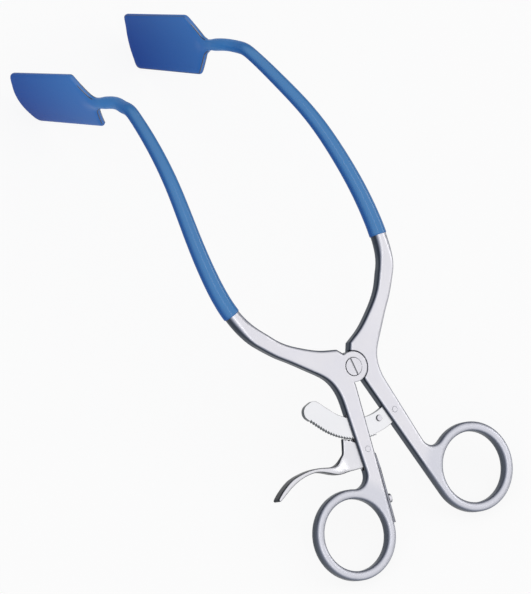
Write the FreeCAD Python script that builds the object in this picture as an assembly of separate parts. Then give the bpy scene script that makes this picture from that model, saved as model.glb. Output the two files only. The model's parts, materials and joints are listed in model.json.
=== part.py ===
import FreeCAD, Part
import os
from math import asin, atan2, cos, degrees, pi, radians, sin, sqrt, tan

# Lateral retractor: two forged halves on one screw, each with a finger ring at one end
# and a hanging blade at the other. Squeezing the rings spreads the blades, and a curved
# toothed bar with a sprung release lever holds the spread.
#
# The halves are drawn in the handle frame: the pivot axis is Z, Y runs from the rings to
# the blades, X across, and the handles lie in the plane Z = 0. The last step stands the
# whole instrument on its blade ends and rings.
# Lengths are in millimetres and angles in degrees.

V = FreeCAD.Vector

# Forged handles and finger rings
handle_thick = 5.0
edge_round = 1.4
ring_hole_radius = 13.7
ring_bar_width = 3.7
ring_centre_x = 29.5
ring_centre_y = -56.8
ring_fillet_radius = 5.0
shank_inner_x = 2.1
shank_inner_y = -7.0
shank_outer_x = 11.0
shank_outer_y = -14.0
shank_outer_angle = 7.7

# Uncoated arm between the screw and the coating
waist_points = [(10.4, -6.5), (11.8, -0.75), (16.7, 5.6), (24.35, 13.75)]
crotch_points = [(24.6, 22.75), (15.8, 15.2), (9.5, 11.35), (3.2, 8.8)]
blank_end_x = 30.6
blank_end_y = 25.7
blank_end_angle = 53.0
blank_end_width = 6.3

# Half lap and pivot screw
lug_radius = 5.9
lug_clearance = 0.3
lap_gap = 0.05
lap_corner_left = 1.0
lap_corner_right = 1.3
screw_head_radius = 3.4
screw_head_depth = 1.2
screw_head_clearance = 0.1
screw_shank_radius = 2.0
screw_running_clearance = 0.06
screw_slot_width = 0.7
screw_slot_depth = 0.5
screw_head_proud = 0.15

# Bent arm: points of its centre line from the end of the flat forging to the blade
arm_points = [(36.1, 39.0, -1.5), (37.3, 56.0, -2.4), (36.1, 74.0, -3.1), (33.6, 92.0, -5.2),
              (30.8, 108.0, -10.9)]
bend_corner = (28.2, 124.75, -19.75)
bend_radius = 9.0
neck_end = (27.24, 129.7, -41.7)
arm_start_diameter = 6.0
arm_end_diameter = 4.1
neck_diameter = 3.95
coat_thick = 0.35
round_share = 0.46
coated_station = 2

# Blades
blade_root = (25.84, 131.9, -51.65)
blade_yaw = 10.9
blade_pitch = 1.7
blade_arch = 1.5
blade_arch_chord = 24.0
blade_plate_thick = 1.6
blade_rim_round = 1.0
# Outline of the coated blade: width, length and corner radius of each corner
blade_upper_corners = [(0.3, -9.5, 0.0), (1.8, -7.0, 5.0), (11.95, -0.2, 3.2), (19.3, 44.1, 2.6)]
blade_tip_corner = (8.3, 49.4, 15.0)
blade_lower_corners = [(-2.7, 46.0, 4.5), (-11.9, 0.2, 2.2), (-5.2, -5.4, 1.5), (-3.95, -9.5, 0.0)]
# Flattening of the neck into the blade: distance down the blade, thickness bare and coated
neck_flats = [(-7.0, 3.6, 4.3), (-3.0, 2.6, 3.2), (1.0, 2.1, 1.9)]

# Ratchet bar, in polar sizes about the pivot; angles run from -Y towards -X
rack_outer_radius = 27.6
rack_width = 8.0
rack_thick = 2.0
rack_free_angle = 80.0
rack_root_angle = -23.0
rack_straight_angle = 57.0
rack_end_round = 3.2
tooth_pitch_angle = 2.5
tooth_count = 25
tooth_depth = 0.7
tooth_end_angle = 6.0
rack_side_clearance = 0.1
rivet_radius = 1.0
rivet_angle = -20.5
stop_pin_radius = 1.1
stop_pin_angle = -3.2
stop_pin_reach = 22.3
stop_pin_height = 0.5

# Slot for the bar and the lever in the left handle
slot_top_y = -15.2
slot_bottom_y = -37.0

# Release lever, drawn as seen on the left handle
lever_pivot_x = -9.6
lever_pivot_y = -30.2
lever_plate_thick = 2.0
lever_pad_width = 5.4
lever_plate_end_x = -18.5
lever_pad_start_x = -28.0
lever_pin_radius = 1.0
lever_pin_clearance = 0.05
pawl_clearance = 0.12
pawl_angles = [36.8, 28.2]
pawl_tooth_count = 3
lever_upper_points = [(-19.3, -27.6), (-24.5, -29.9), (-29.4, -28.4), (-35.3, -26.5), (-40.9, -26.0),
                      (-46.5, -26.8), (-50.5, -28.4), (-53.4, -30.1)]
lever_lower_points = [(-52.6, -31.3), (-47.2, -29.3), (-42.4, -28.1), (-36.8, -27.9), (-32.8, -28.8),
                      (-28.9, -31.2), (-26.4, -32.9), (-23.9, -34.0), (-20.3, -34.6), (-16.7, -35.4)]
lever_heel_points = [(-12.0, -36.2), (-8.9, -36.2)]
lever_heel_top_y = -32.0
lever_shoulder_points = [(-7.6, -29.6), (-8.6, -28.2)]
lever_heel_clearance = 0.03

# Leaf spring and its screw on the inner side of the left handle
spring_thick = 0.8
spring_width = 3.2
spring_tip_width = 1.6
spring_length = 27.4
spring_tail_y = -60.0
spring_taper_length = 6.0
spring_screw_rise = 9.3
spring_screw_radius = 0.9
spring_screw_length = 4.0
spring_head_radius = 1.8
spring_head_height = 1.2
spring_slot_width = 0.5


def unit(vector):
    return V(vector) / vector.Length


def flat(x, y, z=0.0):
    return V(x, y, z)


def polar(radius, angle, z=0.0):
    # Angles run from -Y towards -X, about the pivot
    turn = radians(angle)
    return V(-radius * sin(turn), -radius * cos(turn), z)


def line(start, end):
    return Part.LineSegment(start, end).toShape()


def arc(start, middle, end):
    return Part.Arc(start, middle, end).toShape()


def corner_arc(before, corner, after, radius):
    towards_before = unit(before - corner)
    towards_after = unit(after - corner)
    half_angle = towards_before.getAngle(towards_after) / 2
    reach = radius / tan(half_angle)
    middle = unit(towards_before + towards_after)
    centre = corner + middle * (radius / sin(half_angle))
    return corner + towards_before * reach, centre - middle * radius, corner + towards_after * reach


def rounded_wire(corners):
    # A closed wire through corners, each a point and the radius that rounds it
    pieces = []
    count = len(corners)
    for i in range(count):
        corner, radius = corners[i]
        if radius == 0:
            pieces.append((corner, None, corner))
        else:
            pieces.append(corner_arc(corners[i - 1][0], corner, corners[(i + 1) % count][0], radius))
    edges = []
    for i in range(count):
        start, middle, end = pieces[i]
        if middle is not None:
            edges.append(arc(start, middle, end))
        following = pieces[(i + 1) % count][0]
        if (following - end).Length > 1e-6:
            edges.append(line(end, following))
    return Part.Wire(edges)


def spline(points, start_tangent, end_tangent):
    curve = Part.BSplineCurve()
    curve.interpolate(Points=points, InitialTangent=start_tangent, FinalTangent=end_tangent)
    return curve


def prism(wire, low, high):
    # A flat wire drawn at z = 0, made solid between two heights
    solid = Part.Face(wire).extrude(V(0, 0, high - low))
    solid.translate(V(0, 0, low))
    return solid


def cylinder(radius, centre, low, high):
    return Part.makeCylinder(radius, high - low, V(centre.x, centre.y, low))


def rounded_edges_at(solid, height):
    # The flat edges of a plate at one height
    found = []
    for edge in solid.Edges:
        box = edge.BoundBox
        if abs(box.ZMin - height) < 1e-4 and abs(box.ZMax - height) < 1e-4:
            found.append(edge)
    return found


def ring_tangent(outer_radius):
    # Where the straight inner side of the shank runs into the ring
    start = flat(shank_inner_x, shank_inner_y)
    centre = flat(ring_centre_x, ring_centre_y)
    span = (centre - start).Length
    direction = atan2(centre.x - start.x, start.y - centre.y) - asin(outer_radius / span)
    along = V(sin(direction), -cos(direction), 0)
    return start + along * sqrt(span ** 2 - outer_radius ** 2), along


def shank_outer_fillet(outer_radius):
    # The hollow round between the outer side of the shank and the ring
    top = flat(shank_outer_x, shank_outer_y)
    turn = radians(shank_outer_angle)
    along = V(sin(turn), -cos(turn), 0)
    outwards = V(cos(turn), sin(turn), 0)
    centre = flat(ring_centre_x, ring_centre_y)
    reach = outer_radius + ring_fillet_radius
    offset = top + outwards * ring_fillet_radius - centre
    run = -offset.dot(along) - sqrt(offset.dot(along) ** 2 - offset.Length ** 2 + reach ** 2)
    fillet_centre = top + along * run + outwards * ring_fillet_radius
    on_side = top + along * run
    on_ring = centre + unit(fillet_centre - centre) * outer_radius
    middle = fillet_centre + unit(on_side + on_ring - fillet_centre * 2) * ring_fillet_radius
    return on_side, middle, on_ring


def blank_outline(lap_corner_x):
    # Outline of a right half, from the ring to the end of its flat part
    ring_outer_radius = ring_hole_radius + ring_bar_width
    centre = flat(ring_centre_x, ring_centre_y)
    tangent_point, along_inner = ring_tangent(ring_outer_radius)
    on_side, fillet_middle, on_ring = shank_outer_fillet(ring_outer_radius)
    start_angle = atan2(tangent_point.y - centre.y, tangent_point.x - centre.x) % (2 * pi)
    end_angle = atan2(on_ring.y - centre.y, on_ring.x - centre.x) + 2 * pi
    far_angle = (start_angle + end_angle) / 2
    ring_far = centre + V(cos(far_angle), sin(far_angle), 0) * ring_outer_radius
    turn = radians(blank_end_angle)
    arm_direction = V(cos(turn), sin(turn), 0)
    end_half = V(sin(turn), -cos(turn), 0) * (blank_end_width / 2)
    blank_end = flat(blank_end_x, blank_end_y)
    side = radians(shank_outer_angle)
    top = flat(shank_outer_x, shank_outer_y)
    waist = [top] + [flat(x, y) for x, y in waist_points] + [blank_end + end_half]
    crotch = [blank_end - end_half] + [flat(x, y) for x, y in crotch_points]
    lap_corner = flat(lap_corner_x, sqrt(lug_radius ** 2 - lap_corner_x ** 2))
    inner_start = flat(shank_inner_x, shank_inner_y)
    edges = [
        arc(tangent_point, ring_far, on_ring),
        arc(on_ring, fillet_middle, on_side),
        line(on_side, top),
        spline(waist, V(-sin(side), cos(side), 0), arm_direction).toShape(),
        line(blank_end + end_half, blank_end - end_half),
        spline(crotch, arm_direction * -1, unit(crotch[-1] - crotch[-2])).toShape(),
        line(crotch[-1], lap_corner),
        line(lap_corner, inner_start),
        line(inner_start, tangent_point),
    ]
    return Part.Wire(edges)


def forged_blank(lap_corner_x):
    half = handle_thick / 2
    blank = prism(blank_outline(lap_corner_x), -half, half)
    centre = flat(ring_centre_x, ring_centre_y)
    blank = blank.cut(cylinder(ring_hole_radius, centre, -half, half))
    blank_end = flat(blank_end_x, blank_end_y)
    edges = []
    for edge in rounded_edges_at(blank, half) + rounded_edges_at(blank, -half):
        middle = edge.valueAt((edge.FirstParameter + edge.LastParameter) / 2)
        if (flat(middle.x, middle.y) - blank_end).Length > blank_end_width / 4:
            edges.append(edge)
    return blank.makeFillet(edge_round, edges)


def blade_axes():
    # Width, length and inward direction of the right blade
    yaw = radians(blade_yaw)
    pitch = radians(blade_pitch)
    width = V(sin(yaw), cos(yaw), 0)
    length = V(-sin(pitch) * cos(yaw), sin(pitch) * sin(yaw), -cos(pitch))
    return width, length, width.cross(length)


def blade_placement():
    width, length, inward = blade_axes()
    return FreeCAD.Placement(FreeCAD.Matrix(
        width.x, length.x, inward.x, blade_root[0],
        width.y, length.y, inward.y, blade_root[1],
        width.z, length.z, inward.z, blade_root[2],
        0, 0, 0, 1))


def blade_middle(down):
    # Where the middle line of the blade is, across its width
    upper = blade_upper_corners[0]
    lower = blade_lower_corners[-1]
    start = (upper[0] + lower[0]) / 2
    return start + (down - upper[1]) * (blade_tip_corner[0] - start) / (blade_tip_corner[1] - upper[1])


def blade_crest(down):
    # The point of the blade's middle line, out on the crest of its arch
    width, length, inward = blade_axes()
    return V(*blade_root) + width * blade_middle(down) + length * down - inward * blade_arch


def bend_points():
    # The round bend between the arm and the neck
    return corner_arc(V(*arm_points[-1]), V(*bend_corner), V(*neck_end), bend_radius)


def arm_path():
    turn = radians(blank_end_angle)
    points = [flat(blank_end_x, blank_end_y)]
    points += [V(*point) for point in arm_points]
    points += list(bend_points())
    points += [V(*neck_end)]
    curve = spline(points, V(cos(turn), sin(turn), 0), unit(blade_crest(0) - V(*neck_end)))
    return curve, points


def soft_section(centre, side, up, width, height, corner):
    across = side * (width / 2)
    rise = up * (height / 2)
    signs = [(1, 1), (-1, 1), (-1, -1), (1, -1)]
    return rounded_wire([(centre + across * a + rise * b, corner) for a, b in signs])


def cross_axes(direction):
    side = unit(V(1, 0, 0) - direction * direction.x)
    return side, side.cross(direction)


def arm_stations():
    # Sections along the arm: centre, two directions, width, height and corner radius
    curve, points = arm_path()
    marks = [curve.parameter(point) for point in points]
    places = [marks[0]]
    for before, after in zip(marks, marks[1:]):
        places += [(before + after) / 2, after]
    coat_mark = marks[1]
    bend_mark = marks[-4]
    stations = []
    for mark in places:
        centre = curve.value(mark)
        side, up = cross_axes(unit(curve.tangent(mark)[0]))
        if mark < coat_mark:
            share = (mark - marks[0]) / (coat_mark - marks[0])
            width = blank_end_width + share * (arm_start_diameter - blank_end_width)
            height = handle_thick + share * (arm_start_diameter - handle_thick)
            corner = edge_round + share * (arm_start_diameter * round_share - edge_round)
            stations.append((centre, side, up, width, height, corner))
        elif mark <= bend_mark:
            share = (mark - coat_mark) / (bend_mark - coat_mark)
            size = arm_start_diameter + share * (arm_end_diameter - arm_start_diameter)
            stations.append((centre, side, up, size, size, size * round_share))
        else:
            share = (mark - bend_mark) / (marks[-1] - bend_mark)
            size = arm_end_diameter + share * (neck_diameter - arm_end_diameter)
            stations.append((centre, side, up, size, size, size * round_share))
    return stations


def drawn_rod(skin, first):
    # The arm as one smooth rod from a station on, as thick as its skin asks
    wires = []
    for centre, side, up, width, height, corner in arm_stations()[first:]:
        wires.append(soft_section(centre, side, up, width + 2 * skin, height + 2 * skin, corner + skin))
    across, length, inward = blade_axes()
    for down, bare, coated in neck_flats:
        thick = coated if skin > 0 else bare
        wires.append(soft_section(blade_crest(down), inward * -1, across, thick,
                                  neck_diameter + 2 * skin, thick * round_share))
    return Part.makeLoft(wires, True)


def coating():
    skin = drawn_rod(coat_thick, coated_station).fuse(coated_blade())
    return skin.cut(drawn_rod(0, 0)).cut(blade_plate())


def blade_wire():
    corners = blade_upper_corners + [blade_tip_corner] + blade_lower_corners
    return rounded_wire([(flat(across, down), radius) for across, down, radius in corners])


def arch_radius():
    return ((blade_arch_chord / 2) ** 2 + blade_arch ** 2) / (2 * blade_arch)


def arched_plate(wire, thick):
    # The outline cut from a curved sheet that bulges away from the other blade
    height = arch_radius() - blade_arch
    low = flat(blade_middle(-20), -20, height)
    high = flat(blade_middle(70), 70, height)
    outer = Part.makeCylinder(arch_radius() + thick / 2, (high - low).Length, low, high - low)
    inner = Part.makeCylinder(arch_radius() - thick / 2, (high - low).Length, low, high - low)
    reach = 4 * blade_arch + thick
    return prism(wire, -reach, reach).common(outer.cut(inner))


def blade_plate():
    # The steel blade, notched for the end of the neck
    plate = arched_plate(blade_wire().makeOffset2D(-coat_thick), blade_plate_thick)
    plate.Placement = blade_placement()
    return plate.cut(drawn_rod(0, 0))


def rim_edges(blade):
    # The edges round both faces, without the short open end in the neck
    found = []
    for edge in blade.Edges:
        middle = edge.valueAt((edge.FirstParameter + edge.LastParameter) / 2)
        faces = blade.ancestorsOfType(edge, Part.Face)
        on_arch = [face for face in faces if isinstance(face.Surface, Part.Cylinder)
                   and face.Surface.Radius > arch_radius() - blade_plate_thick]
        if len(on_arch) == 1 and middle.y > blade_upper_corners[0][1] + 0.01:
            found.append(edge)
    return found


def coated_blade():
    blade = arched_plate(blade_wire(), blade_plate_thick + 2 * coat_thick)
    blade = blade.makeFillet(blade_rim_round, rim_edges(blade))
    blade.Placement = blade_placement()
    return blade


def to_left(shape):
    return shape.mirror(V(0, 0, 0), V(1, 0, 0))


def lap_disc(radius, low, high):
    return cylinder(radius, flat(0, 0), low, high)


def slot_box(width, depth, length, centre, along, normal):
    # A box about a centre: length along one direction, depth along the normal
    side = normal.cross(along)
    wire = soft_outline([(length / 2, width / 2), (-length / 2, width / 2),
                         (-length / 2, -width / 2), (length / 2, -width / 2)], centre, along, side)
    return Part.Face(wire).extrude(normal * -depth)


def soft_outline(corners, centre, along, side):
    points = [centre + along * a + side * b for a, b in corners]
    return Part.makePolygon(points + [points[0]])


def screw_head_floor():
    return handle_thick / 2 - screw_head_depth


def pivot_screw():
    half = handle_thick / 2
    top = half + screw_head_proud
    shank = lap_disc(screw_shank_radius, -half, screw_head_floor())
    head = lap_disc(screw_head_radius, screw_head_floor(), top)
    slot = slot_box(screw_slot_width, screw_slot_depth, 2 * screw_head_radius, V(0, 0, top),
                    V(0, 1, 0), V(0, 0, 1))
    return shank.fuse(head).cut(slot)


def left_arm():
    half = handle_thick / 2
    arm = to_left(forged_blank(lap_corner_left).fuse(drawn_rod(0, 0)))
    arm = arm.cut(lap_disc(lug_radius + lug_clearance, -half, lap_gap / 2))
    arm = arm.fuse(lap_disc(lug_radius, lap_gap / 2, half))
    arm = arm.cut(lap_disc(screw_shank_radius + screw_running_clearance, -half, half))
    arm = arm.cut(lap_disc(screw_head_radius + screw_head_clearance, screw_head_floor() - lap_gap, half))
    slot_half = rack_thick / 2 + rack_side_clearance
    slot = Part.makeBox(ring_centre_x, slot_top_y - slot_bottom_y, 2 * slot_half,
                        V(-ring_centre_x, slot_bottom_y, -slot_half))
    return arm.cut(slot).cut(lever_pin()).cut(spring_screw())


def right_arm():
    half = handle_thick / 2
    arm = forged_blank(lap_corner_right).fuse(drawn_rod(0, 0))
    arm = arm.cut(lap_disc(lug_radius + lug_clearance, -lap_gap / 2, half))
    arm = arm.fuse(lap_disc(lug_radius, -half, -lap_gap / 2))
    return arm.cut(lap_disc(screw_shank_radius, -half, half)).cut(rack_sector()).cut(ratchet_rivet())


def past_arc(radius, angle):
    # The bar runs straight on from its arc towards the free end
    beyond = max(0.0, radians(angle - rack_straight_angle))
    return polar(radius / cos(beyond), angle)


def rack_sector():
    # The bar without its tooth gaps, from its tang in the right handle to its free end
    tip = rack_outer_radius
    root = tip - tooth_depth
    inner = tip - rack_width
    low_middle = (rack_root_angle + tooth_end_angle) / 2
    high_middle = (tooth_end_angle + rack_straight_angle) / 2
    inner_middle = (rack_root_angle + rack_straight_angle) / 2
    outer_corner = past_arc(tip, rack_free_angle)
    inner_corner = past_arc(inner, rack_free_angle)
    wire = Part.Wire([
        arc(polar(root, rack_root_angle), polar(root, low_middle), polar(root, tooth_end_angle)),
        line(polar(root, tooth_end_angle), polar(tip, tooth_end_angle)),
        arc(polar(tip, tooth_end_angle), polar(tip, high_middle), polar(tip, rack_straight_angle)),
        line(polar(tip, rack_straight_angle), outer_corner),
        line(outer_corner, inner_corner),
        line(inner_corner, polar(inner, rack_straight_angle)),
        arc(polar(inner, rack_straight_angle), polar(inner, inner_middle), polar(inner, rack_root_angle)),
        line(polar(inner, rack_root_angle), polar(root, rack_root_angle))])
    bar = prism(wire, -rack_thick / 2, rack_thick / 2)
    corners = []
    for edge in bar.Edges:
        middle = edge.valueAt((edge.FirstParameter + edge.LastParameter) / 2)
        for corner in (outer_corner, inner_corner):
            if (flat(middle.x, middle.y) - corner).Length < 1e-3:
                corners.append(edge)
    return bar.makeFillet(rack_end_round, corners)


def tooth_gap(angle):
    # The notch between two teeth: a ramp down from one tip, then the steep face of the next
    following = angle + tooth_pitch_angle
    tip = past_arc(rack_outer_radius, angle)
    next_tip = past_arc(rack_outer_radius, following)
    root = next_tip * (1 - tooth_depth / next_tip.Length)
    wire = Part.makePolygon([tip, tip * 1.1, next_tip * 1.1, root, tip])
    return prism(wire, -rack_thick, rack_thick)


def ratchet_bar():
    gaps = [tooth_gap(tooth_end_angle + i * tooth_pitch_angle) for i in range(tooth_count)]
    return rack_sector().cut(gaps).cut(ratchet_rivet()).cut(stop_pin())


def ratchet_rivet():
    half = handle_thick / 2
    centre = polar(rack_outer_radius - rack_width / 2, rivet_angle)
    return cylinder(rivet_radius, centre, -half, half)


def stop_pin():
    reach = rack_thick / 2 + stop_pin_height
    return cylinder(stop_pin_radius, polar(stop_pin_reach, stop_pin_angle), -reach, reach)


def left_inner_line():
    # The straight inner side of the left handle: a point and two directions
    tangent_point, along = ring_tangent(ring_hole_radius + ring_bar_width)
    start = flat(-shank_inner_x, shank_inner_y)
    upwards = V(along.x, -along.y, 0)
    return start, upwards, V(upwards.y, -upwards.x, 0)


def on_inner_line(y, out=0.0):
    start, upwards, outwards = left_inner_line()
    return start + upwards * ((y - start.y) / upwards.y) + outwards * out


def lever_profile():
    # Seen along the pivot: pawl teeth, finger lever, heel
    tip = rack_outer_radius + pawl_clearance
    first, last = pawl_angles
    step = (first - last) / pawl_tooth_count
    teeth = []
    for i in range(pawl_tooth_count):
        teeth += [polar(tip, first - i * step), polar(tip + tooth_depth, first - (i + 1) * step)]
    shoulder = [flat(x, y) for x, y in lever_shoulder_points]
    heel_top = on_inner_line(lever_heel_top_y, -lever_heel_clearance)
    heel = [flat(x, y) for x, y in lever_heel_points]
    heel_end = on_inner_line(heel[-1].y, -lever_heel_clearance)
    upper = [flat(x, y) for x, y in lever_upper_points]
    lower = [flat(x, y) for x, y in lever_lower_points]
    upper_curve = spline(upper, unit(upper[1] - upper[0]), unit(upper[-1] - upper[-2])).toShape()
    lower_curve = spline(lower, unit(lower[1] - lower[0]), unit(lower[-1] - lower[-2])).toShape()
    tip_out = (upper[-1] + lower[0]) / 2 + unit(upper[-1] - upper[-2]) * ((upper[-1] - lower[0]).Length / 2)
    corners = teeth + [shoulder[1], shoulder[0], heel_top, heel_end, heel[0], lower[-1]]
    edges = [line(a, b) for a, b in zip(corners, corners[1:])]
    edges += [lower_curve, arc(lower[0], tip_out, upper[-1]), upper_curve, line(upper[0], teeth[0])]
    return Part.Wire(Part.sortEdges(edges)[0])


def lever_width_profile():
    # Seen along Y: the plate widens into the finger pad
    thin = lever_plate_thick / 2
    wide = lever_pad_width / 2
    far = lever_lower_points[0][0] - lever_pad_width
    sides = []
    for sign in (1, -1):
        sides.append(spline([flat(lever_plate_end_x, sign * thin), flat(lever_pad_start_x, sign * wide)],
                            V(-1, 0, 0), V(-1, 0, 0)).toShape())
    edges = [line(flat(0, -thin), flat(0, thin)),
             line(flat(0, thin), flat(lever_plate_end_x, thin)),
             sides[0],
             line(flat(lever_pad_start_x, wide), flat(far, wide)),
             line(flat(far, wide), flat(far, -wide)),
             line(flat(far, -wide), flat(lever_pad_start_x, -wide)),
             sides[1],
             line(flat(lever_plate_end_x, -thin), flat(0, -thin))]
    wire = Part.Wire(Part.sortEdges(edges)[0])
    wire.rotate(V(0, 0, 0), V(1, 0, 0), 90)
    return wire


def release_lever():
    wide = lever_pad_width
    outline = prism(lever_profile(), -wide, wide)
    band = Part.Face(lever_width_profile()).extrude(V(0, -2 * rack_outer_radius, 0))
    lever = outline.common(band)
    pivot = flat(lever_pivot_x, lever_pivot_y)
    return lever.cut(cylinder(lever_pin_radius + lever_pin_clearance, pivot, -wide, wide))


def lever_pin():
    half = handle_thick / 2
    return cylinder(lever_pin_radius, flat(lever_pivot_x, lever_pivot_y), -half, half)


def spring_screw_axis():
    start, upwards, outwards = left_inner_line()
    return on_inner_line(spring_tail_y) + upwards * spring_screw_rise, outwards, upwards


def spring_screw():
    centre, outwards, upwards = spring_screw_axis()
    shank = Part.makeCylinder(spring_screw_radius, spring_screw_length + spring_thick,
                              centre - outwards * spring_screw_length, outwards)
    top = centre + outwards * (spring_thick + spring_head_height)
    head = Part.makeCylinder(spring_head_radius, spring_head_height,
                             centre + outwards * spring_thick, outwards)
    slot = slot_box(spring_slot_width, spring_head_height / 2, 2 * spring_head_radius,
                    top, upwards, outwards)
    return shank.fuse(head).cut(slot)


def leaf_spring():
    start, upwards, outwards = left_inner_line()
    tail = on_inner_line(spring_tail_y)
    wide = spring_width / 2
    tip = spring_tip_width / 2
    shoulder = spring_length - spring_taper_length
    wire = soft_outline([(0, wide), (shoulder, wide), (spring_length, tip),
                         (spring_length, -tip), (shoulder, -wide), (0, -wide)], tail, upwards, V(0, 0, 1))
    return Part.Face(wire).extrude(outwards * spring_thick).cut(spring_screw())


def standing(shapes):
    # Tilts and lifts the instrument so that it rests on both blade ends and both rings
    blade_points = shapes["right_coating"].tessellate(0.05)[0]
    ring_points = forged_blank(lap_corner_right).tessellate(0.05)[0]

    def height(points, tilt):
        return min(point.y * sin(tilt) + point.z * cos(tilt) for point in points)

    low = 0.0
    high = pi / 4
    for step in range(40):
        tilt = (low + high) / 2
        if height(blade_points, tilt) < height(ring_points, tilt):
            low = tilt
        else:
            high = tilt
    turned = FreeCAD.Placement(V(0, 0, 0), FreeCAD.Rotation(V(1, 0, 0), degrees(tilt)))
    box = FreeCAD.BoundBox()
    for shape in shapes.values():
        moved = shape.copy()
        moved.Placement = turned.multiply(moved.Placement)
        box.add(moved.optimalBoundingBox(False, False))
    lift = V(-box.Center.x, -box.Center.y, -box.ZMin)
    return FreeCAD.Placement(lift, turned.Rotation)


def main():
    right_coating = coating()
    shapes = {
        "left_arm": left_arm(),
        "right_arm": right_arm(),
        "left_blade": to_left(blade_plate()),
        "right_blade": blade_plate(),
        "left_coating": to_left(right_coating),
        "right_coating": right_coating,
        "pivot_screw": pivot_screw(),
        "ratchet_bar": ratchet_bar(),
        "ratchet_rivet": ratchet_rivet(),
        "stop_pin": stop_pin(),
        "release_lever": release_lever(),
        "lever_pin": lever_pin(),
        "leaf_spring": leaf_spring(),
        "spring_screw": spring_screw(),
    }
    placing = standing(shapes)
    os.makedirs("parts", exist_ok=True)
    for name, shape in shapes.items():
        body = shape.Solids[0].copy() if len(shape.Solids) == 1 else shape.copy()
        body.Placement = placing.multiply(body.Placement)
        body.exportStep("parts/" + name + ".step")
        print(name, len(shape.Solids), round(body.Volume, 1))
    normal = placing.Rotation.multVec(V(0, 0, 1))
    lever = placing.multVec(flat(lever_pivot_x, lever_pivot_y))
    print("pivot", placing.Base, "normal", normal, "lever pivot", lever)


main()
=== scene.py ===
import json
import math

import bmesh
import bpy
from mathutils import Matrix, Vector
from mathutils.bvhtree import BVHTree


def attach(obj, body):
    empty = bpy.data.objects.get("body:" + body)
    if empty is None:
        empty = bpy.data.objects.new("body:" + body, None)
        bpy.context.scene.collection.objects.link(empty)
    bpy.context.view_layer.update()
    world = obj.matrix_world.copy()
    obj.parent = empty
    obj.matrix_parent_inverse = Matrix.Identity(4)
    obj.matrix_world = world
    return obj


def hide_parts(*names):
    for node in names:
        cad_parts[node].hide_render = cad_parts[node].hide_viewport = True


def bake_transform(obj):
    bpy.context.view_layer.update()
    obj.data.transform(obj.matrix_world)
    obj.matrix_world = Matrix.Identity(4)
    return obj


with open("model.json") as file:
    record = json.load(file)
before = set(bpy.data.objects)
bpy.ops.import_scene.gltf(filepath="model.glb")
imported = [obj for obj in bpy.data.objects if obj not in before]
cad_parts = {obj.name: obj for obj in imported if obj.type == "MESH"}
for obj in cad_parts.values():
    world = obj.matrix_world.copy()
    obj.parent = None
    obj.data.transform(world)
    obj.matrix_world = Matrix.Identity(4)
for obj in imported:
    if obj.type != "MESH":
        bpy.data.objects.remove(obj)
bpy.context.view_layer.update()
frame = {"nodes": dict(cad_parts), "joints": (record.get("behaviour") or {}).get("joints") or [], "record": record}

mounts = {mount["name"]: mount for mount in frame["record"]["mounts"]}
joints = {joint["name"]: joint for joint in frame["joints"]}
handleNormal = tuple(mounts["finger_ring_left"]["axis"])    # square to the flat handles
mirrorX = joints["pivot"]["pos_m"][0]    # the right half mirrors the left across this plane


# Short ways to add and join nodes
def addNode(tree, kind, values=None, **settings):
    node = tree.nodes.new(kind)
    for key, value in settings.items():
        setattr(node, key, value)
    for key, value in (values or {}).items():
        node.inputs[key].default_value = value
    return node


def link(tree, source, target):
    tree.links.new(source, target)


def mathNode(tree, operation, first, second=None, clamp=False):
    node = addNode(tree, "ShaderNodeMath", operation=operation, use_clamp=clamp)
    for index, value in enumerate((first, second)):
        if value is None:
            continue
        if isinstance(value, (int, float)):
            node.inputs[index].default_value = value
        else:
            link(tree, value, node.inputs[index])
    return node.outputs[0]


def mixColours(tree, mask, first, second):
    node = addNode(tree, "ShaderNodeMix", data_type="RGBA")
    for index, value in ((0, mask), (6, first), (7, second)):
        if isinstance(value, (int, float)):
            node.inputs[index].default_value = value
        elif isinstance(value, tuple):
            node.inputs[index].default_value = (*value, 1.0)
        else:
            link(tree, value, node.inputs[index])
    return node.outputs[2]


def startGroup(name, inputs, outputs):
    group = bpy.data.node_groups.new(name, "ShaderNodeTree")
    for label, kind, value in inputs:
        socket = group.interface.new_socket(label, in_out="INPUT", socket_type=kind)
        socket.default_value = value
    for label, kind in outputs:
        group.interface.new_socket(label, in_out="OUTPUT", socket_type=kind)
    return group, group.nodes.new("NodeGroupInput"), group.nodes.new("NodeGroupOutput")


def makeSoftEdges():
    # Normals that turn gently round every edge, as hand grinding leaves them
    group, given, result = startGroup(
        "softEdges", [("Radius", "NodeSocketFloat", 0.001)],
        [("Normal", "NodeSocketVector"), ("Local Normal", "NodeSocketVector")])
    bevel = addNode(group, "ShaderNodeBevel", samples=8)
    link(group, given.outputs["Radius"], bevel.inputs["Radius"])
    local = addNode(group, "ShaderNodeVectorTransform", vector_type="NORMAL", convert_from="WORLD",
                    convert_to="OBJECT")
    link(group, bevel.outputs["Normal"], local.inputs[0])
    link(group, bevel.outputs["Normal"], result.inputs["Normal"])
    link(group, local.outputs[0], result.inputs["Local Normal"])
    return group


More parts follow.
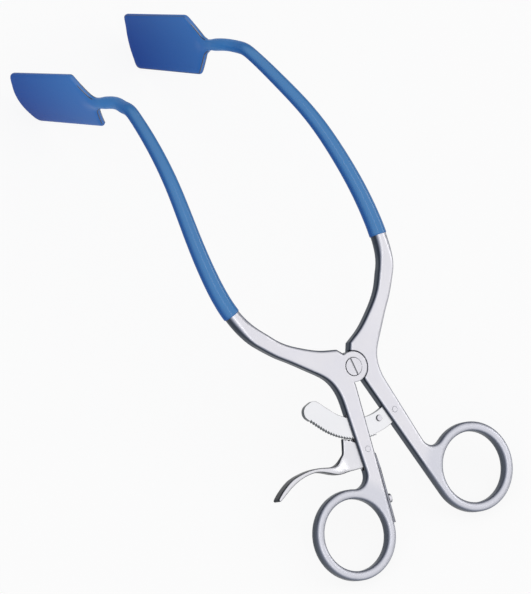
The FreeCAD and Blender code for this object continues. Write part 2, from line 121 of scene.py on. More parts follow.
def makeFlankMask():
    # 0 on faces that look along the axis or straight away from it, 1 on the walls between them
    group, given, result = startGroup(
        "flankMask",
        [("Normal", "NodeSocketVector", (0, 0, 1)), ("Axis", "NodeSocketVector", handleNormal),
         ("Start", "NodeSocketFloat", 0.93), ("End", "NodeSocketFloat", 0.25)],
        [("Mask", "NodeSocketFloat")])
    dot = addNode(group, "ShaderNodeVectorMath", operation="DOT_PRODUCT")
    link(group, given.outputs["Normal"], dot.inputs[0])
    link(group, given.outputs["Axis"], dot.inputs[1])
    turn = 5.0    # how soon the underside counts as a face again
    turned = mathNode(group, "MULTIPLY", dot.outputs["Value"], -turn)
    underside = mathNode(group, "SUBTRACT", turned, turn - 1.0)
    facing = mathNode(group, "MAXIMUM", dot.outputs["Value"], underside)
    ramp = addNode(group, "ShaderNodeMapRange", {"To Min": 0.0, "To Max": 1.0}, clamp=True,
                   interpolation_type="SMOOTHSTEP")
    link(group, facing, ramp.inputs["Value"])
    link(group, given.outputs["Start"], ramp.inputs["From Min"])
    link(group, given.outputs["End"], ramp.inputs["From Max"])
    link(group, ramp.outputs["Result"], result.inputs["Mask"])
    return group


def makeBrushedGrain():
    # Fine lines left by the belt, with slow clouds where the hand pressed more
    group, given, result = startGroup(
        "brushedGrain",
        [("Fine Scale", "NodeSocketFloat", 9000.0), ("Coarse Scale", "NodeSocketFloat", 2600.0),
         ("Stretch", "NodeSocketVector", (1.0, 0.06, 0.2)), ("Cloud Scale", "NodeSocketFloat", 90.0)],
        [("Grain", "NodeSocketFloat"), ("Clouds", "NodeSocketFloat")])
    fineShare = 0.6
    place = addNode(group, "ShaderNodeTexCoord")
    stretched = addNode(group, "ShaderNodeVectorMath", operation="MULTIPLY")
    link(group, place.outputs["Object"], stretched.inputs[0])
    link(group, given.outputs["Stretch"], stretched.inputs[1])
    fine = addNode(group, "ShaderNodeTexNoise", {"Detail": 3.0, "Roughness": 0.55})
    link(group, stretched.outputs[0], fine.inputs["Vector"])
    link(group, given.outputs["Fine Scale"], fine.inputs["Scale"])
    coarse = addNode(group, "ShaderNodeTexNoise", {"Detail": 2.0})
    link(group, stretched.outputs[0], coarse.inputs["Vector"])
    link(group, given.outputs["Coarse Scale"], coarse.inputs["Scale"])
    both = mathNode(group, "ADD", mathNode(group, "MULTIPLY", fine.outputs["Fac"], fineShare),
                    mathNode(group, "MULTIPLY", coarse.outputs["Fac"], 1.0 - fineShare))
    clouds = addNode(group, "ShaderNodeTexNoise", {"Detail": 4.0, "Roughness": 0.6})
    link(group, place.outputs["Object"], clouds.inputs["Vector"])
    link(group, given.outputs["Cloud Scale"], clouds.inputs["Scale"])
    link(group, both, result.inputs["Grain"])
    link(group, clouds.outputs["Fac"], result.inputs["Clouds"])
    return group


def makeEdgeWearAndShade():
    # A mask along the edges, broken up by noise: pale rubbed wear on the handles and spring, and a dark painted
    # shade along the edges of the rack, lever, screws and coat
    group, given, result = startGroup(
        "edgeWearAndShade",
        [("Width", "NodeSocketFloat", 0.0003), ("Breakup", "NodeSocketFloat", 0.4),
         ("Noise Scale", "NodeSocketFloat", 900.0), ("Sharpness", "NodeSocketFloat", 6.0)],
        [("Mask", "NodeSocketFloat")])
    place = addNode(group, "ShaderNodeTexCoord")
    shape = addNode(group, "ShaderNodeNewGeometry")
    bevel = addNode(group, "ShaderNodeBevel", samples=6)
    link(group, given.outputs["Width"], bevel.inputs["Radius"])
    dot = addNode(group, "ShaderNodeVectorMath", operation="DOT_PRODUCT")
    link(group, bevel.outputs["Normal"], dot.inputs[0])
    link(group, shape.outputs["Normal"], dot.inputs[1])
    bent = mathNode(group, "SUBTRACT", 1.0, dot.outputs["Value"])
    edge = mathNode(group, "MULTIPLY", bent, given.outputs["Sharpness"], True)
    noise = addNode(group, "ShaderNodeTexNoise", {"Detail": 3.0})
    link(group, place.outputs["Object"], noise.inputs["Vector"])
    link(group, given.outputs["Noise Scale"], noise.inputs["Scale"])
    broken = mathNode(group, "MULTIPLY", noise.outputs["Fac"], given.outputs["Breakup"])
    link(group, mathNode(group, "SUBTRACT", edge, broken, True), result.inputs["Mask"])
    return group


def makeSurfaceMottle():
    # Slow change of colour and the faint ripple of a sprayed and cured coat
    group, given, result = startGroup(
        "surfaceMottle",
        [("Patch Scale", "NodeSocketFloat", 60.0), ("Peel Scale", "NodeSocketFloat", 700.0),
         ("Speck Scale", "NodeSocketFloat", 2100.0)],
        [("Patches", "NodeSocketFloat"), ("Specks", "NodeSocketFloat"), ("Height", "NodeSocketFloat")])
    place = addNode(group, "ShaderNodeTexCoord")
    patches = addNode(group, "ShaderNodeTexNoise", {"Detail": 5.0, "Roughness": 0.62})
    link(group, place.outputs["Object"], patches.inputs["Vector"])
    link(group, given.outputs["Patch Scale"], patches.inputs["Scale"])
    peel = addNode(group, "ShaderNodeTexNoise", {"Detail": 2.0})
    link(group, place.outputs["Object"], peel.inputs["Vector"])
    link(group, given.outputs["Peel Scale"], peel.inputs["Scale"])
    specks = addNode(group, "ShaderNodeTexNoise", {"Detail": 2.0})
    link(group, place.outputs["Object"], specks.inputs["Vector"])
    link(group, given.outputs["Speck Scale"], specks.inputs["Scale"])
    link(group, patches.outputs["Fac"], result.inputs["Patches"])
    link(group, specks.outputs["Fac"], result.inputs["Specks"])
    link(group, peel.outputs["Fac"], result.inputs["Height"])
    return group


def makeRoundedRing():
    # 1 on the upper half of the walls of the two finger rings, whose bars are nearly round, where the painted wall
    # shade is lifted; Near is 1 over the rings, where a cool painted shade is laid on the bars
    group, given, result = startGroup(
        "roundedRing",
        [("Left Centre", "NodeSocketVector", (0, 0, 0)), ("Right Centre", "NodeSocketVector", (0, 0, 0)),
         ("Inner", "NodeSocketFloat", 0.0185), ("Outer", "NodeSocketFloat", 0.024),
         ("Axis", "NodeSocketVector", handleNormal), ("Low", "NodeSocketFloat", 0.0002),
         ("High", "NodeSocketFloat", 0.0022)],
        [("Mask", "NodeSocketFloat"), ("Near", "NodeSocketFloat")])
    place = addNode(group, "ShaderNodeTexCoord")
    reach = []
    for label in ("Left Centre", "Right Centre"):
        away = addNode(group, "ShaderNodeVectorMath", operation="DISTANCE")
        link(group, place.outputs["Object"], away.inputs[0])
        link(group, given.outputs[label], away.inputs[1])
        reach.append(away.outputs["Value"])
    near = addNode(group, "ShaderNodeMapRange", {"To Min": 1.0, "To Max": 0.0},
                   interpolation_type="SMOOTHSTEP")
    link(group, mathNode(group, "MINIMUM", reach[0], reach[1]), near.inputs["Value"])
    link(group, given.outputs["Inner"], near.inputs["From Min"])
    link(group, given.outputs["Outer"], near.inputs["From Max"])
    link(group, near.outputs["Result"], result.inputs["Near"])
    offset = addNode(group, "ShaderNodeVectorMath", operation="SUBTRACT")
    link(group, place.outputs["Object"], offset.inputs[0])
    link(group, given.outputs["Left Centre"], offset.inputs[1])
    height = addNode(group, "ShaderNodeVectorMath", operation="DOT_PRODUCT")
    link(group, offset.outputs[0], height.inputs[0])
    link(group, given.outputs["Axis"], height.inputs[1])
    upper = addNode(group, "ShaderNodeMapRange", interpolation_type="SMOOTHSTEP")
    link(group, height.outputs["Value"], upper.inputs["Value"])
    link(group, given.outputs["Low"], upper.inputs["From Min"])
    link(group, given.outputs["High"], upper.inputs["From Max"])
    link(group, mathNode(group, "MULTIPLY", near.outputs["Result"], upper.outputs["Result"]),
         result.inputs["Mask"])
    return group


softEdges = makeSoftEdges()
flankMask = makeFlankMask()
roundedRing = makeRoundedRing()
brushedGrain = makeBrushedGrain()
edgeWearAndShade = makeEdgeWearAndShade()
surfaceMottle = makeSurfaceMottle()
print("shared effects built")


def useGroup(tree, group, values):
    node = addNode(tree, "ShaderNodeGroup", node_tree=group)
    for key, value in values.items():
        node.inputs[key].default_value = value
    return node


def makeSteel(name, look):
    material = bpy.data.materials.new(name)
    material.use_nodes = True
    tree = material.node_tree
    tree.nodes.clear()
    output = addNode(tree, "ShaderNodeOutputMaterial")
    shader = addNode(tree, "ShaderNodeBsdfPrincipled", {
        "Metallic": 1.0, "IOR": look["ior"], "Anisotropic": look["anisotropic"]})
    grain = useGroup(tree, brushedGrain, {"Stretch": look["stretch"], "Cloud Scale": look["cloudScale"]})
    soft = useGroup(tree, softEdges, {"Radius": look["edgeRound"]})
    flank = useGroup(tree, flankMask, {"Axis": look["axis"], "Start": look["flankStart"],
                                       "End": look["flankEnd"]})
    link(tree, soft.outputs["Local Normal"], flank.inputs["Normal"])
    edgeWearAndShadeMask = useGroup(tree, edgeWearAndShade, {"Width": look["wearAndShadeWidth"]})
    tint = mixColours(tree, grain.outputs["Clouds"], look["coolSteel"], look["warmSteel"])
    darker = mixColours(tree, mathNode(tree, "MULTIPLY", grain.outputs["Grain"], look["grainDepth"]),
                        tint, look["grainColour"])
    # Painted shade: the first half of the mask brings in a grey painted shade on the rounded edges, the second
    # half a darker painted shade on the walls
    doubled = mathNode(tree, "MULTIPLY", flank.outputs["Mask"], 2.0)
    shallow = mathNode(tree, "MINIMUM", doubled, 1.0)
    deep = mathNode(tree, "SUBTRACT", doubled, 1.0, True)
    if "ringCentres" in look:
        ring = useGroup(tree, roundedRing, {"Left Centre": look["ringCentres"][0],
                                            "Right Centre": look["ringCentres"][1]})
        wider = mathNode(tree, "MULTIPLY", ring.outputs["Near"], look["ringRound"])
        link(tree, mathNode(tree, "ADD", wider, look["edgeRound"]), soft.inputs["Radius"])
        # Painted shade: a cool darker grey is laid over the bars of the finger rings
        ringShadeAmount = mathNode(tree, "MULTIPLY", ring.outputs["Near"], look["ringPaintedShadeShare"])
        darker = mixColours(tree, ringShadeAmount, darker, look["ringPaintedShade"])
        # The painted wall shade is lifted on the upper half of the ring walls, so the bars read as round and lit
        # from above
        lighter = mathNode(tree, "MULTIPLY", ring.outputs["Mask"], look["ringShare"])
        deep = mathNode(tree, "MULTIPLY", deep, mathNode(tree, "SUBTRACT", 1.0, lighter))
    turned = mixColours(tree, shallow, darker, look["paintedEdgeShade"])
    walls = mixColours(tree, deep, turned, look["paintedWallShade"])
    # Pale rubbed wear on the handle and spring edges; on the rack, lever and screws the same mask lays a dark
    # painted shade
    wornAndEdgeShaded = mixColours(tree, mathNode(tree, "MULTIPLY", edgeWearAndShadeMask.outputs["Mask"], look["wearAndEdgeShadeAmount"]),
                      walls, look["wearAndEdgeShadeColour"])
    link(tree, wornAndEdgeShaded, shader.inputs["Base Color"])
    rough = addNode(tree, "ShaderNodeMapRange", {"To Min": look["roughLow"], "To Max": look["roughHigh"]})
    link(tree, grain.outputs["Grain"], rough.inputs["Value"])
    link(tree, rough.outputs["Result"], shader.inputs["Roughness"])
    bump = addNode(tree, "ShaderNodeBump", {"Strength": look["bump"], "Distance": look["grainHeight"]})
    link(tree, grain.outputs["Grain"], bump.inputs["Height"])
    link(tree, soft.outputs["Normal"], bump.inputs["Normal"])
    link(tree, bump.outputs["Normal"], shader.inputs["Normal"])
    link(tree, shader.outputs[0], output.inputs[0])
    return material


# Painted shade on every steel below: a grey on its rounded edges and a darker tone on its walls, the walls deepest
# where they turn furthest from the flat faces
handleSteel = {
    "axis": handleNormal, "flankStart": 0.99, "flankEnd": 0.56, "edgeRound": 0.0009,
    "ringCentres": (mounts["finger_ring_left"]["pos_m"], mounts["finger_ring_right"]["pos_m"]),
    "ringShare": 0.4, "ringRound": 0.0013, "ringPaintedShade": (0.50, 0.53, 0.62), "ringPaintedShadeShare": 0.35,
    "coolSteel": (0.79, 0.785, 0.845), "warmSteel": (0.87, 0.855, 0.865),
    "grainColour": (0.62, 0.62, 0.69), "grainDepth": 0.25,
    "paintedEdgeShade": (0.27, 0.29, 0.36), "paintedWallShade": (0.046, 0.057, 0.077),
    "wearAndEdgeShadeColour": (0.80, 0.80, 0.84), "wearAndEdgeShadeAmount": 0.15,
    "roughLow": 0.28, "roughHigh": 0.42, "bump": 0.25, "grainHeight": 0.00002, "anisotropic": 0.2,
    "ior": 2.5, "stretch": (1.0, 0.06, 0.2), "cloudScale": 90.0, "wearAndShadeWidth": 0.0003,
}
plateSteel = {key: value for key, value in handleSteel.items() if not key.startswith("ring")}
# The rack, lever and screws take a dark painted shade along their edges through the edge mask, where the handles
# and spring take pale rubbed wear
rackSteel = dict(plateSteel, edgeRound=0.0005, coolSteel=(0.90, 0.91, 0.93), warmSteel=(0.94, 0.935, 0.93),
                 paintedEdgeShade=(0.40, 0.42, 0.44), paintedWallShade=(0.10, 0.11, 0.12), grainDepth=0.08,
                 wearAndEdgeShadeColour=(0.30, 0.31, 0.33), wearAndEdgeShadeAmount=0.75, stretch=(0.06, 1.0, 0.2),
                 roughLow=0.26, roughHigh=0.32, bump=0.1, wearAndShadeWidth=0.00022)
leverSteel = dict(plateSteel, coolSteel=(0.80, 0.80, 0.84), warmSteel=(0.86, 0.85, 0.86),
                  flankStart=0.93, paintedEdgeShade=(0.36, 0.37, 0.42), paintedWallShade=(0.018, 0.022, 0.028),
                  grainDepth=0.12, bump=0.12, wearAndEdgeShadeColour=(0.30, 0.31, 0.34), wearAndEdgeShadeAmount=0.1,
                  stretch=(0.06, 1.0, 0.2), wearAndShadeWidth=0.0002)
screwSteel = dict(plateSteel, edgeRound=0.0002, paintedEdgeShade=(0.35, 0.36, 0.40),
                  paintedWallShade=(0.06, 0.07, 0.08), grainDepth=0.35, wearAndEdgeShadeColour=(0.32, 0.33, 0.36),
                  wearAndEdgeShadeAmount=0.5, stretch=(1.0, 1.0, 1.0), roughLow=0.18, roughHigh=0.34,
                  wearAndShadeWidth=0.00015)
springSteel = dict(plateSteel, edgeRound=0.0001, axis=(1.0, 0.0, 0.0), flankStart=0.9, flankEnd=0.2,
                   coolSteel=(0.66, 0.67, 0.74), warmSteel=(0.72, 0.71, 0.72),
                   paintedEdgeShade=(0.55, 0.56, 0.60), paintedWallShade=(0.30, 0.31, 0.35),
                   stretch=(0.3, 0.05, 1.0), roughLow=0.2, roughHigh=0.32, wearAndShadeWidth=0.00015)
pinSteel = dict(plateSteel, edgeRound=0.00003, wearAndEdgeShadeAmount=0.0, wearAndShadeWidth=0.00003)    # ends ground flush

materials = {
    "pin": makeSteel("flushPinSteel", pinSteel),
    "handle": makeSteel("satinSteelHandle", handleSteel),
    "rack": makeSteel("satinSteelRack", rackSteel),
    "lever": makeSteel("satinSteelLever", leverSteel),
    "screw": makeSteel("turnedSteelScrew", screwSteel),
    "spring": makeSteel("springSteelLeaf", springSteel),
}


# The insulating coat carries painted shade: a darker blue on its sides, so that it is palest where it looks up, a
# deeper blue towards the feet of the blades, and a deeper blue along its edges
coatingLook = {
    "blue": (0.024, 0.185, 0.46), "deepBlue": (0.016, 0.155, 0.40), "paleBlue": (0.034, 0.210, 0.50),
    "sideAxis": (-0.2, -0.3, 0.93), "sideShadeBlue": (0.016, 0.078, 0.30),
    "sideStart": 0.95, "sideEnd": 0.35, "sideShadeAmount": 0.85,
    "bladeBlue": (0.042, 0.170, 0.49), "bladeFootShadeBlue": (0.015, 0.070, 0.33),
    "bladeTop": 0.054, "bladeMiddle": 0.046, "bladeFoot": 0.004,
    "neckBlue": (0.044, 0.195, 0.50), "neckStart": 0.064, "neckEnd": 0.074, "edgeRound": 0.0015,
    "coatTop": 1.0, "coatSide": 0.0,
    "edgeShadeBlue": (0.030, 0.15, 0.42), "edgeShadeAmount": 0.2, "wearAndShadeWidth": 0.0005, "edgeShadeBreakup": 0.3,
    "fleckAmount": 0.35, "roughLow": 0.24, "roughHigh": 0.36, "peel": 0.10, "peelHeight": 0.00006,
    "ior": 1.45, "gloss": 0.05, "glossRough": 0.19, "glossIor": 1.65,
}


def makeCoating(name, look):
    material = bpy.data.materials.new(name)
    material.use_nodes = True
    tree = material.node_tree
    tree.nodes.clear()
    output = addNode(tree, "ShaderNodeOutputMaterial")
    shader = addNode(tree, "ShaderNodeBsdfPrincipled", {
        "Metallic": 0.0, "IOR": look["ior"], "Specular IOR Level": look["gloss"],
        "Coat Roughness": look["glossRough"], "Coat IOR": look["glossIor"]})
    place = addNode(tree, "ShaderNodeTexCoord")
    mottle = useGroup(tree, surfaceMottle, {})
    edgeWearAndShadeMask = useGroup(tree, edgeWearAndShade, {"Width": look["wearAndShadeWidth"], "Breakup": look["edgeShadeBreakup"]})
    blue = mixColours(tree, mottle.outputs["Patches"], look["deepBlue"], look["blue"])
    flecked = mathNode(tree, "MULTIPLY", mottle.outputs["Specks"], look["fleckAmount"])
    fleck = mixColours(tree, flecked, blue, look["paleBlue"])
    side = useGroup(tree, flankMask, {"Axis": look["sideAxis"], "Start": look["sideStart"],
                                      "End": look["sideEnd"]})
    soft = useGroup(tree, softEdges, {"Radius": look["edgeRound"]})
    link(tree, soft.outputs["Local Normal"], side.inputs["Normal"])
    # Painted shade: walls turned away from the side axis take a darker blue
    sides = mixColours(tree, mathNode(tree, "MULTIPLY", side.outputs["Mask"], look["sideShadeAmount"]),
                       fleck, look["sideShadeBlue"])
    height = addNode(tree, "ShaderNodeSeparateXYZ")
    link(tree, place.outputs["Object"], height.inputs[0])
    onBlade = addNode(tree, "ShaderNodeMapRange", {"From Min": look["bladeTop"],
                                                   "From Max": look["bladeMiddle"]})
    link(tree, height.outputs["Z"], onBlade.inputs["Value"])
    # Painted shade: the blades turn a deeper blue towards their feet
    lowOnBlade = addNode(tree, "ShaderNodeMapRange", {"From Min": look["bladeMiddle"],
                                                      "From Max": look["bladeFoot"]})
    link(tree, height.outputs["Z"], lowOnBlade.inputs["Value"])
    blades = mixColours(tree, lowOnBlade.outputs["Result"], look["bladeBlue"], look["bladeFootShadeBlue"])
    onNeck = addNode(tree, "ShaderNodeMapRange", {"From Min": look["neckStart"], "From Max": look["neckEnd"]})
    link(tree, height.outputs["Y"], onNeck.inputs["Value"])
    # On the necks the painted side shade gives way to one even blue
    sides = mixColours(tree, onNeck.outputs["Result"], sides, look["neckBlue"])
    bladeShare = mathNode(tree, "MULTIPLY", onBlade.outputs["Result"], onNeck.outputs["Result"])
    sides = mixColours(tree, bladeShare, sides, blades)
    coatMask = addNode(tree, "ShaderNodeMapRange", {"To Min": look["coatTop"], "To Max": look["coatSide"]})
    link(tree, side.outputs["Mask"], coatMask.inputs["Value"])
    link(tree, coatMask.outputs["Result"], shader.inputs["Coat Weight"])
    # Painted shade: a deeper blue along the coat's edges, broken up by noise
    edges = mixColours(tree, mathNode(tree, "MULTIPLY", edgeWearAndShadeMask.outputs["Mask"], look["edgeShadeAmount"]),
                       sides, look["edgeShadeBlue"])
    link(tree, edges, shader.inputs["Base Color"])
    rough = addNode(tree, "ShaderNodeMapRange", {"To Min": look["roughLow"], "To Max": look["roughHigh"]})
    link(tree, mottle.outputs["Specks"], rough.inputs["Value"])
    link(tree, rough.outputs["Result"], shader.inputs["Roughness"])
    bump = addNode(tree, "ShaderNodeBump", {"Strength": look["peel"], "Distance": look["peelHeight"]})
    link(tree, mottle.outputs["Height"], bump.inputs["Height"])
    link(tree, soft.outputs["Normal"], bump.inputs["Normal"])
    link(tree, bump.outputs["Normal"], shader.inputs["Normal"])
    link(tree, shader.outputs[0], output.inputs[0])
    return material


materials["coating"] = makeCoating("blueInsulatingCoat", coatingLook)

finishes = {
    "left_arm": "handle", "right_arm": "handle", "left_blade": "handle", "right_blade": "handle",
    "left_coating": "coating", "right_coating": "coating",
    "pivot_screw": "screw", "spring_screw": "screw", "stop_pin": "screw", "lever_pin": "pin",
    "ratchet_rivet": "pin", "ratchet_bar": "rack", "release_lever": "lever", "leaf_spring": "spring",
}
for nodeName, finish in finishes.items():
    mesh = frame["nodes"][nodeName].data
    mesh.materials.clear()
    mesh.materials.append(materials[finish])
print("materials assigned")


# Short ways to mesh, smooth and finish a piece
def surfaceTree(nodeNames):
    points, polygons = [], []
    for nodeName in nodeNames:
        mesh = frame["nodes"][nodeName].data
        polygons += [[len(points) + index for index in polygon.vertices] for polygon in mesh.polygons]
        points += [vert.co.copy() for vert in mesh.vertices]
    return BVHTree.FromPolygons(points, polygons)


def remeshedPiece(name, mesh, voxel):
    piece = bpy.data.objects.new(name, mesh)
    bpy.context.scene.collection.objects.link(piece)
    remesh = piece.modifiers.new("remesh", "REMESH")
    remesh.mode = "VOXEL"
    remesh.voxel_size = voxel
    depsgraph = bpy.context.evaluated_depsgraph_get()
    depsgraph.update()
    mesh = bpy.data.meshes.new_from_object(piece.evaluated_get(depsgraph))
    piece.modifiers.clear()
    piece.data = mesh
    return piece


def evenOut(work, verts):
    bmesh.ops.smooth_vert(work, verts=verts, factor=0.5, use_axis_x=True, use_axis_y=True, use_axis_z=True)


def smoothPass(work, soft):
    # Each point of soft goes only its own share of the way
    moving = list(soft)
    before = [vert.co.copy() for vert in moving]
    evenOut(work, moving)
    for vert, old in zip(moving, before):
        vert.co = old.lerp(vert.co, soft[vert])


def finishPiece(piece, finish, sharpAngle=None):
    mesh = piece.data
    for polygon in mesh.polygons:
        polygon.use_smooth = True
    if sharpAngle is not None:
        mesh.set_sharp_from_angle(angle=math.radians(sharpAngle))
    mesh.materials.clear()
    mesh.materials.append(materials[finish])


# The coat flows from the neck into the blade, so it is remeshed as one skin and drawn smooth there
coatShape = {
    "weld": 1e-6, "againstSteel": 0.0002, "facingSteel": -0.3, "voxel": 0.0004,
    "rightJunction": (0.0305, 0.0833, 0.0452), "reach": 0.0105, "fullShare": 0.5,
    "passes": 60, "passesPerCheck": 4, "sink": 0.0002, "settlePasses": 3,
}


def makeCoatPiece(name, nodeName, steelNodes, body, mirrored):
    steelTree = surfaceTree(steelNodes)
    shell = bmesh.new()
    shell.from_mesh(frame["nodes"][nodeName].data)
    bmesh.ops.remove_doubles(shell, verts=shell.verts, dist=coatShape["weld"])
    shell.normal_update()
    # Only the outside of the skin is kept, and the hole over the arm is filled
    inner = []
    for face in shell.faces:
        point, normal, index, distance = steelTree.find_nearest(face.calc_center_median())
        if distance < coatShape["againstSteel"] and face.normal.dot(normal) < coatShape["facingSteel"]:
            inner.append(face)
    bmesh.ops.delete(shell, geom=inner, context="FACES")
    surface = BVHTree.FromBMesh(shell)
    openEdges = [edge for edge in shell.edges if edge.is_boundary]
    print(name, len(inner), "inner faces left out,", len(openEdges), "open edges filled")
    bmesh.ops.holes_fill(shell, edges=openEdges, sides=0)
    bmesh.ops.triangulate(shell, faces=shell.faces)
    closed = bpy.data.meshes.new(name)
    shell.to_mesh(closed)
    shell.free()
    piece = remeshedPiece(name, closed, coatShape["voxel"])
    work = bmesh.new()
    work.from_mesh(piece.data)
    middle = Vector(coatShape["rightJunction"])
    if mirrored:
        middle.x = 2 * mirrorX - middle.x
    soft = {}
    for vert in work.verts:
        share = 1.0 - (vert.co - middle).length / coatShape["reach"]
        if share > 0.0:
            soft[vert] = min(1.0, share / coatShape["fullShare"])
        else:
            vert.co = surface.find_nearest(vert.co)[0]
    for step in range(1, coatShape["passes"] + 1):
        smoothPass(work, soft)
        if step % coatShape["passesPerCheck"]:
            continue
        # The blade's steel stays covered, so no point sinks further than this under the skin
        for vert in soft:
            point, normal, index, distance = surface.find_nearest(vert.co)
            if (vert.co - point).dot(normal) < -coatShape["sink"]:
                vert.co = point - normal * coatShape["sink"]
    for step in range(coatShape["settlePasses"]):
        evenOut(work, work.verts)
    work.to_mesh(piece.data)
    print(name, len(work.verts), "points,", len(soft), "of them drawn smooth")
    work.free()
    finishPiece(piece, "coating")
    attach(piece, body)
    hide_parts(nodeName)


makeCoatPiece("leftCoat", "left_coating", ("left_arm", "left_blade"), "left_half", mirrored=True)
makeCoatPiece("rightCoat", "right_coating", ("right_arm", "right_blade"), "right_half", mirrored=False)


# The finger end of the release lever is ground round
leverShape = {"voxel": 0.00025, "fixedX": -0.012, "softX": -0.019, "passes": 36, "sharpAngle": 32}


def makeLeverPiece():
    piece = remeshedPiece("leverBody", frame["nodes"]["release_lever"].data.copy(), leverShape["voxel"])
    work = bmesh.new()
    work.from_mesh(piece.data)
    surface = surfaceTree(["release_lever"])
    soft = {}
    for vert in work.verts:
        share = (leverShape["fixedX"] - vert.co.x) / (leverShape["fixedX"] - leverShape["softX"])
        if share > 0.0:
            soft[vert] = min(1.0, share)
        else:
            vert.co = surface.find_nearest(vert.co)[0]
    for step in range(leverShape["passes"]):
        smoothPass(work, soft)
    work.to_mesh(piece.data)
    print("leverBody", len(soft), "points drawn smooth")
    work.free()
    finishPiece(piece, "lever", leverShape["sharpAngle"])
    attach(piece, "release_lever")
    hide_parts("release_lever")


# The leaf spring bends when the lever is pressed; here it is cut across into short lengths
springShape = {
    "tail": (-0.0089, -0.1096, 0.0064), "tip": (-0.0031, -0.0842, 0.0199), "lengths": 16,
    "bendStart": (-0.0072, -0.1010, 0.0110), "bendEnd": (-0.0035, -0.0862, 0.0188),
    "weld": 1e-6, "cutTolerance": 1e-7, "sharpAngle": 32,
}


def makeSpringPiece():
    work = bmesh.new()
    work.from_mesh(frame["nodes"]["leaf_spring"].data)
    bmesh.ops.remove_doubles(work, verts=work.verts, dist=springShape["weld"])
    tail = Vector(springShape["tail"])
    along = Vector(springShape["tip"]) - tail
    for step in range(1, springShape["lengths"]):
        place = tail + along * (step / springShape["lengths"])
        parts = list(work.verts) + list(work.edges) + list(work.faces)
        bmesh.ops.bisect_plane(work, geom=parts, plane_co=place, plane_no=along,
                               dist=springShape["cutTolerance"])
    bmesh.ops.triangulate(work, faces=work.faces)
    mesh = bpy.data.meshes.new("springLeaf")
    work.to_mesh(mesh)
    work.free()
    piece = bpy.data.objects.new("springLeaf", mesh)
    bpy.context.scene.collection.objects.link(piece)
    finishPiece(piece, "spring", springShape["sharpAngle"])
    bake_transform(piece)
    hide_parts("leaf_spring")
    print("springLeaf cut into", springShape["lengths"], "lengths")


makeSpringPiece()
makeLeverPiece()


# A pale floor, a soft dome of light and three lamps
studio = {
    "floorSize": 6.0, "floorColour": (0.9, 0.9, 0.9, 1.0), "floorWhite": 0.985, "shadowShare": 0.10,
    "sky": (0.98, 0.98, 1.0), "domeDirection": (-0.35, -0.35, 1.0), "domeStart": 0.06, "domeEnd": 0.48,
    "domeStrength": 0.95, "farStrength": 0.35,
}
lamps = [    # name, direction, distance, width, length, power
    ("keyLamp", (0.85, -0.38, 0.50), 1.6, 0.5, 0.5, 1.2),
    ("shoulderLamp", (0.66, 0.46, 0.58), 1.6, 0.35, 0.35, 0.3),
    ("stripLamp", (-0.20, -0.45, 0.87), 1.6, 0.16, 2.0, 1.3),
]


def makeFloor():
    half = studio["floorSize"] / 2
    mesh = bpy.data.meshes.new("floor")
    mesh.from_pydata([(-half, -half, 0), (half, -half, 0), (half, half, 0), (-half, half, 0)], [],
                     [(0, 1, 2, 3)])
    floor = bpy.data.objects.new("floor", mesh)
    bpy.context.scene.collection.objects.link(floor)
    # Rays that come from the camera, from metal or through glass see the floor's own white
    material = bpy.data.materials.new("paleFloor")
    material.use_nodes = True
    tree = material.node_tree
    tree.nodes.clear()
    output = addNode(tree, "ShaderNodeOutputMaterial")
    matt = addNode(tree, "ShaderNodeBsdfDiffuse", {"Color": studio["floorColour"]})
    white = addNode(tree, "ShaderNodeEmission", {"Color": (1, 1, 1, 1), "Strength": studio["floorWhite"]})
    path = addNode(tree, "ShaderNodeLightPath")
    seen = mathNode(tree, "MAXIMUM", path.outputs["Is Camera Ray"], path.outputs["Is Glossy Ray"])
    seen = mathNode(tree, "MAXIMUM", seen, path.outputs["Is Transmission Ray"])
    share = mathNode(tree, "MULTIPLY", seen, 1.0 - studio["shadowShare"])
    mixed = addNode(tree, "ShaderNodeMixShader")
    link(tree, share, mixed.inputs[0])
    link(tree, matt.outputs[0], mixed.inputs[1])
    link(tree, white.outputs[0], mixed.inputs[2])
    link(tree, mixed.outputs[0], output.inputs[0])
    mesh.materials.append(material)


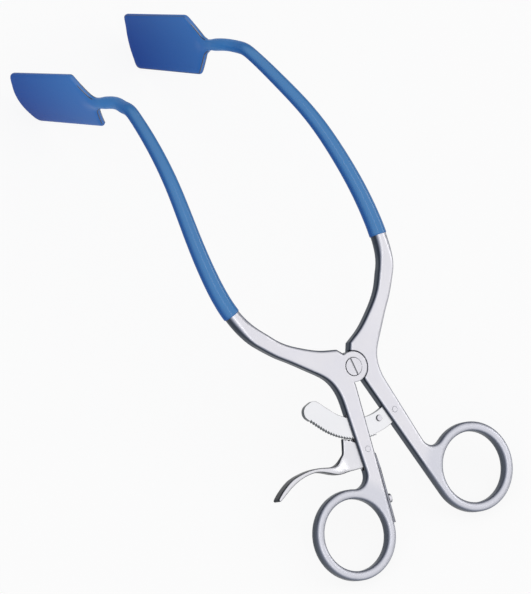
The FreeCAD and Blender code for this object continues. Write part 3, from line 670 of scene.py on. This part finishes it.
def makeWorld():
    world = bpy.data.worlds.new("studioWorld")
    bpy.context.scene.world = world
    world.use_nodes = True
    tree = world.node_tree
    tree.nodes.clear()
    output = addNode(tree, "ShaderNodeOutputWorld")
    sky = addNode(tree, "ShaderNodeBackground")
    sky.inputs["Color"].default_value = (*studio["sky"], 1.0)
    place = addNode(tree, "ShaderNodeTexCoord")
    dot = addNode(tree, "ShaderNodeVectorMath", operation="DOT_PRODUCT")
    dot.inputs[1].default_value = Vector(studio["domeDirection"]).normalized()
    link(tree, place.outputs["Generated"], dot.inputs[0])
    level = addNode(tree, "ShaderNodeMapRange", {
        "From Min": studio["domeStart"], "From Max": studio["domeEnd"],
        "To Min": studio["farStrength"], "To Max": studio["domeStrength"]},
        interpolation_type="SMOOTHSTEP")
    link(tree, dot.outputs["Value"], level.inputs["Value"])
    link(tree, level.outputs["Result"], sky.inputs["Strength"])
    link(tree, sky.outputs[0], output.inputs[0])


def addLamp(name, direction, distance, width, length, power):
    data = bpy.data.lights.new(name, "AREA")
    data.shape = "ELLIPSE"
    data.size = width
    data.size_y = length
    data.energy = power
    lamp = bpy.data.objects.new(name, data)
    towards = Vector(direction).normalized()
    lamp.location = towards * distance
    lamp.rotation_euler = towards.to_track_quat("Z", "Y").to_euler()
    bpy.context.scene.collection.objects.link(lamp)


# The photograph looks down from above the left handle, from far off through a long lens
photoCamera = {
    "place": (-1.146353, -0.635565, 2.058222), "turn": (29.4842085, -14.7009541, -37.1889406),
    "lens": 382.836, "sensorWidth": 36.0, "clipEnd": 20.0,
}


def makeCamera():
    data = bpy.data.cameras.new("photoCamera")
    data.lens = photoCamera["lens"]
    data.sensor_width = photoCamera["sensorWidth"]
    data.clip_end = photoCamera["clipEnd"]
    camera = bpy.data.objects.new("photoCamera", data)
    camera.location = photoCamera["place"]
    camera.rotation_euler = [math.radians(angle) for angle in photoCamera["turn"]]
    bpy.context.scene.collection.objects.link(camera)
    bpy.context.scene.camera = camera


makeFloor()
makeWorld()
for lampValues in lamps:
    addLamp(*lampValues)
makeCamera()
bpy.context.scene.view_settings.view_transform = "Standard"
print("studio ready")
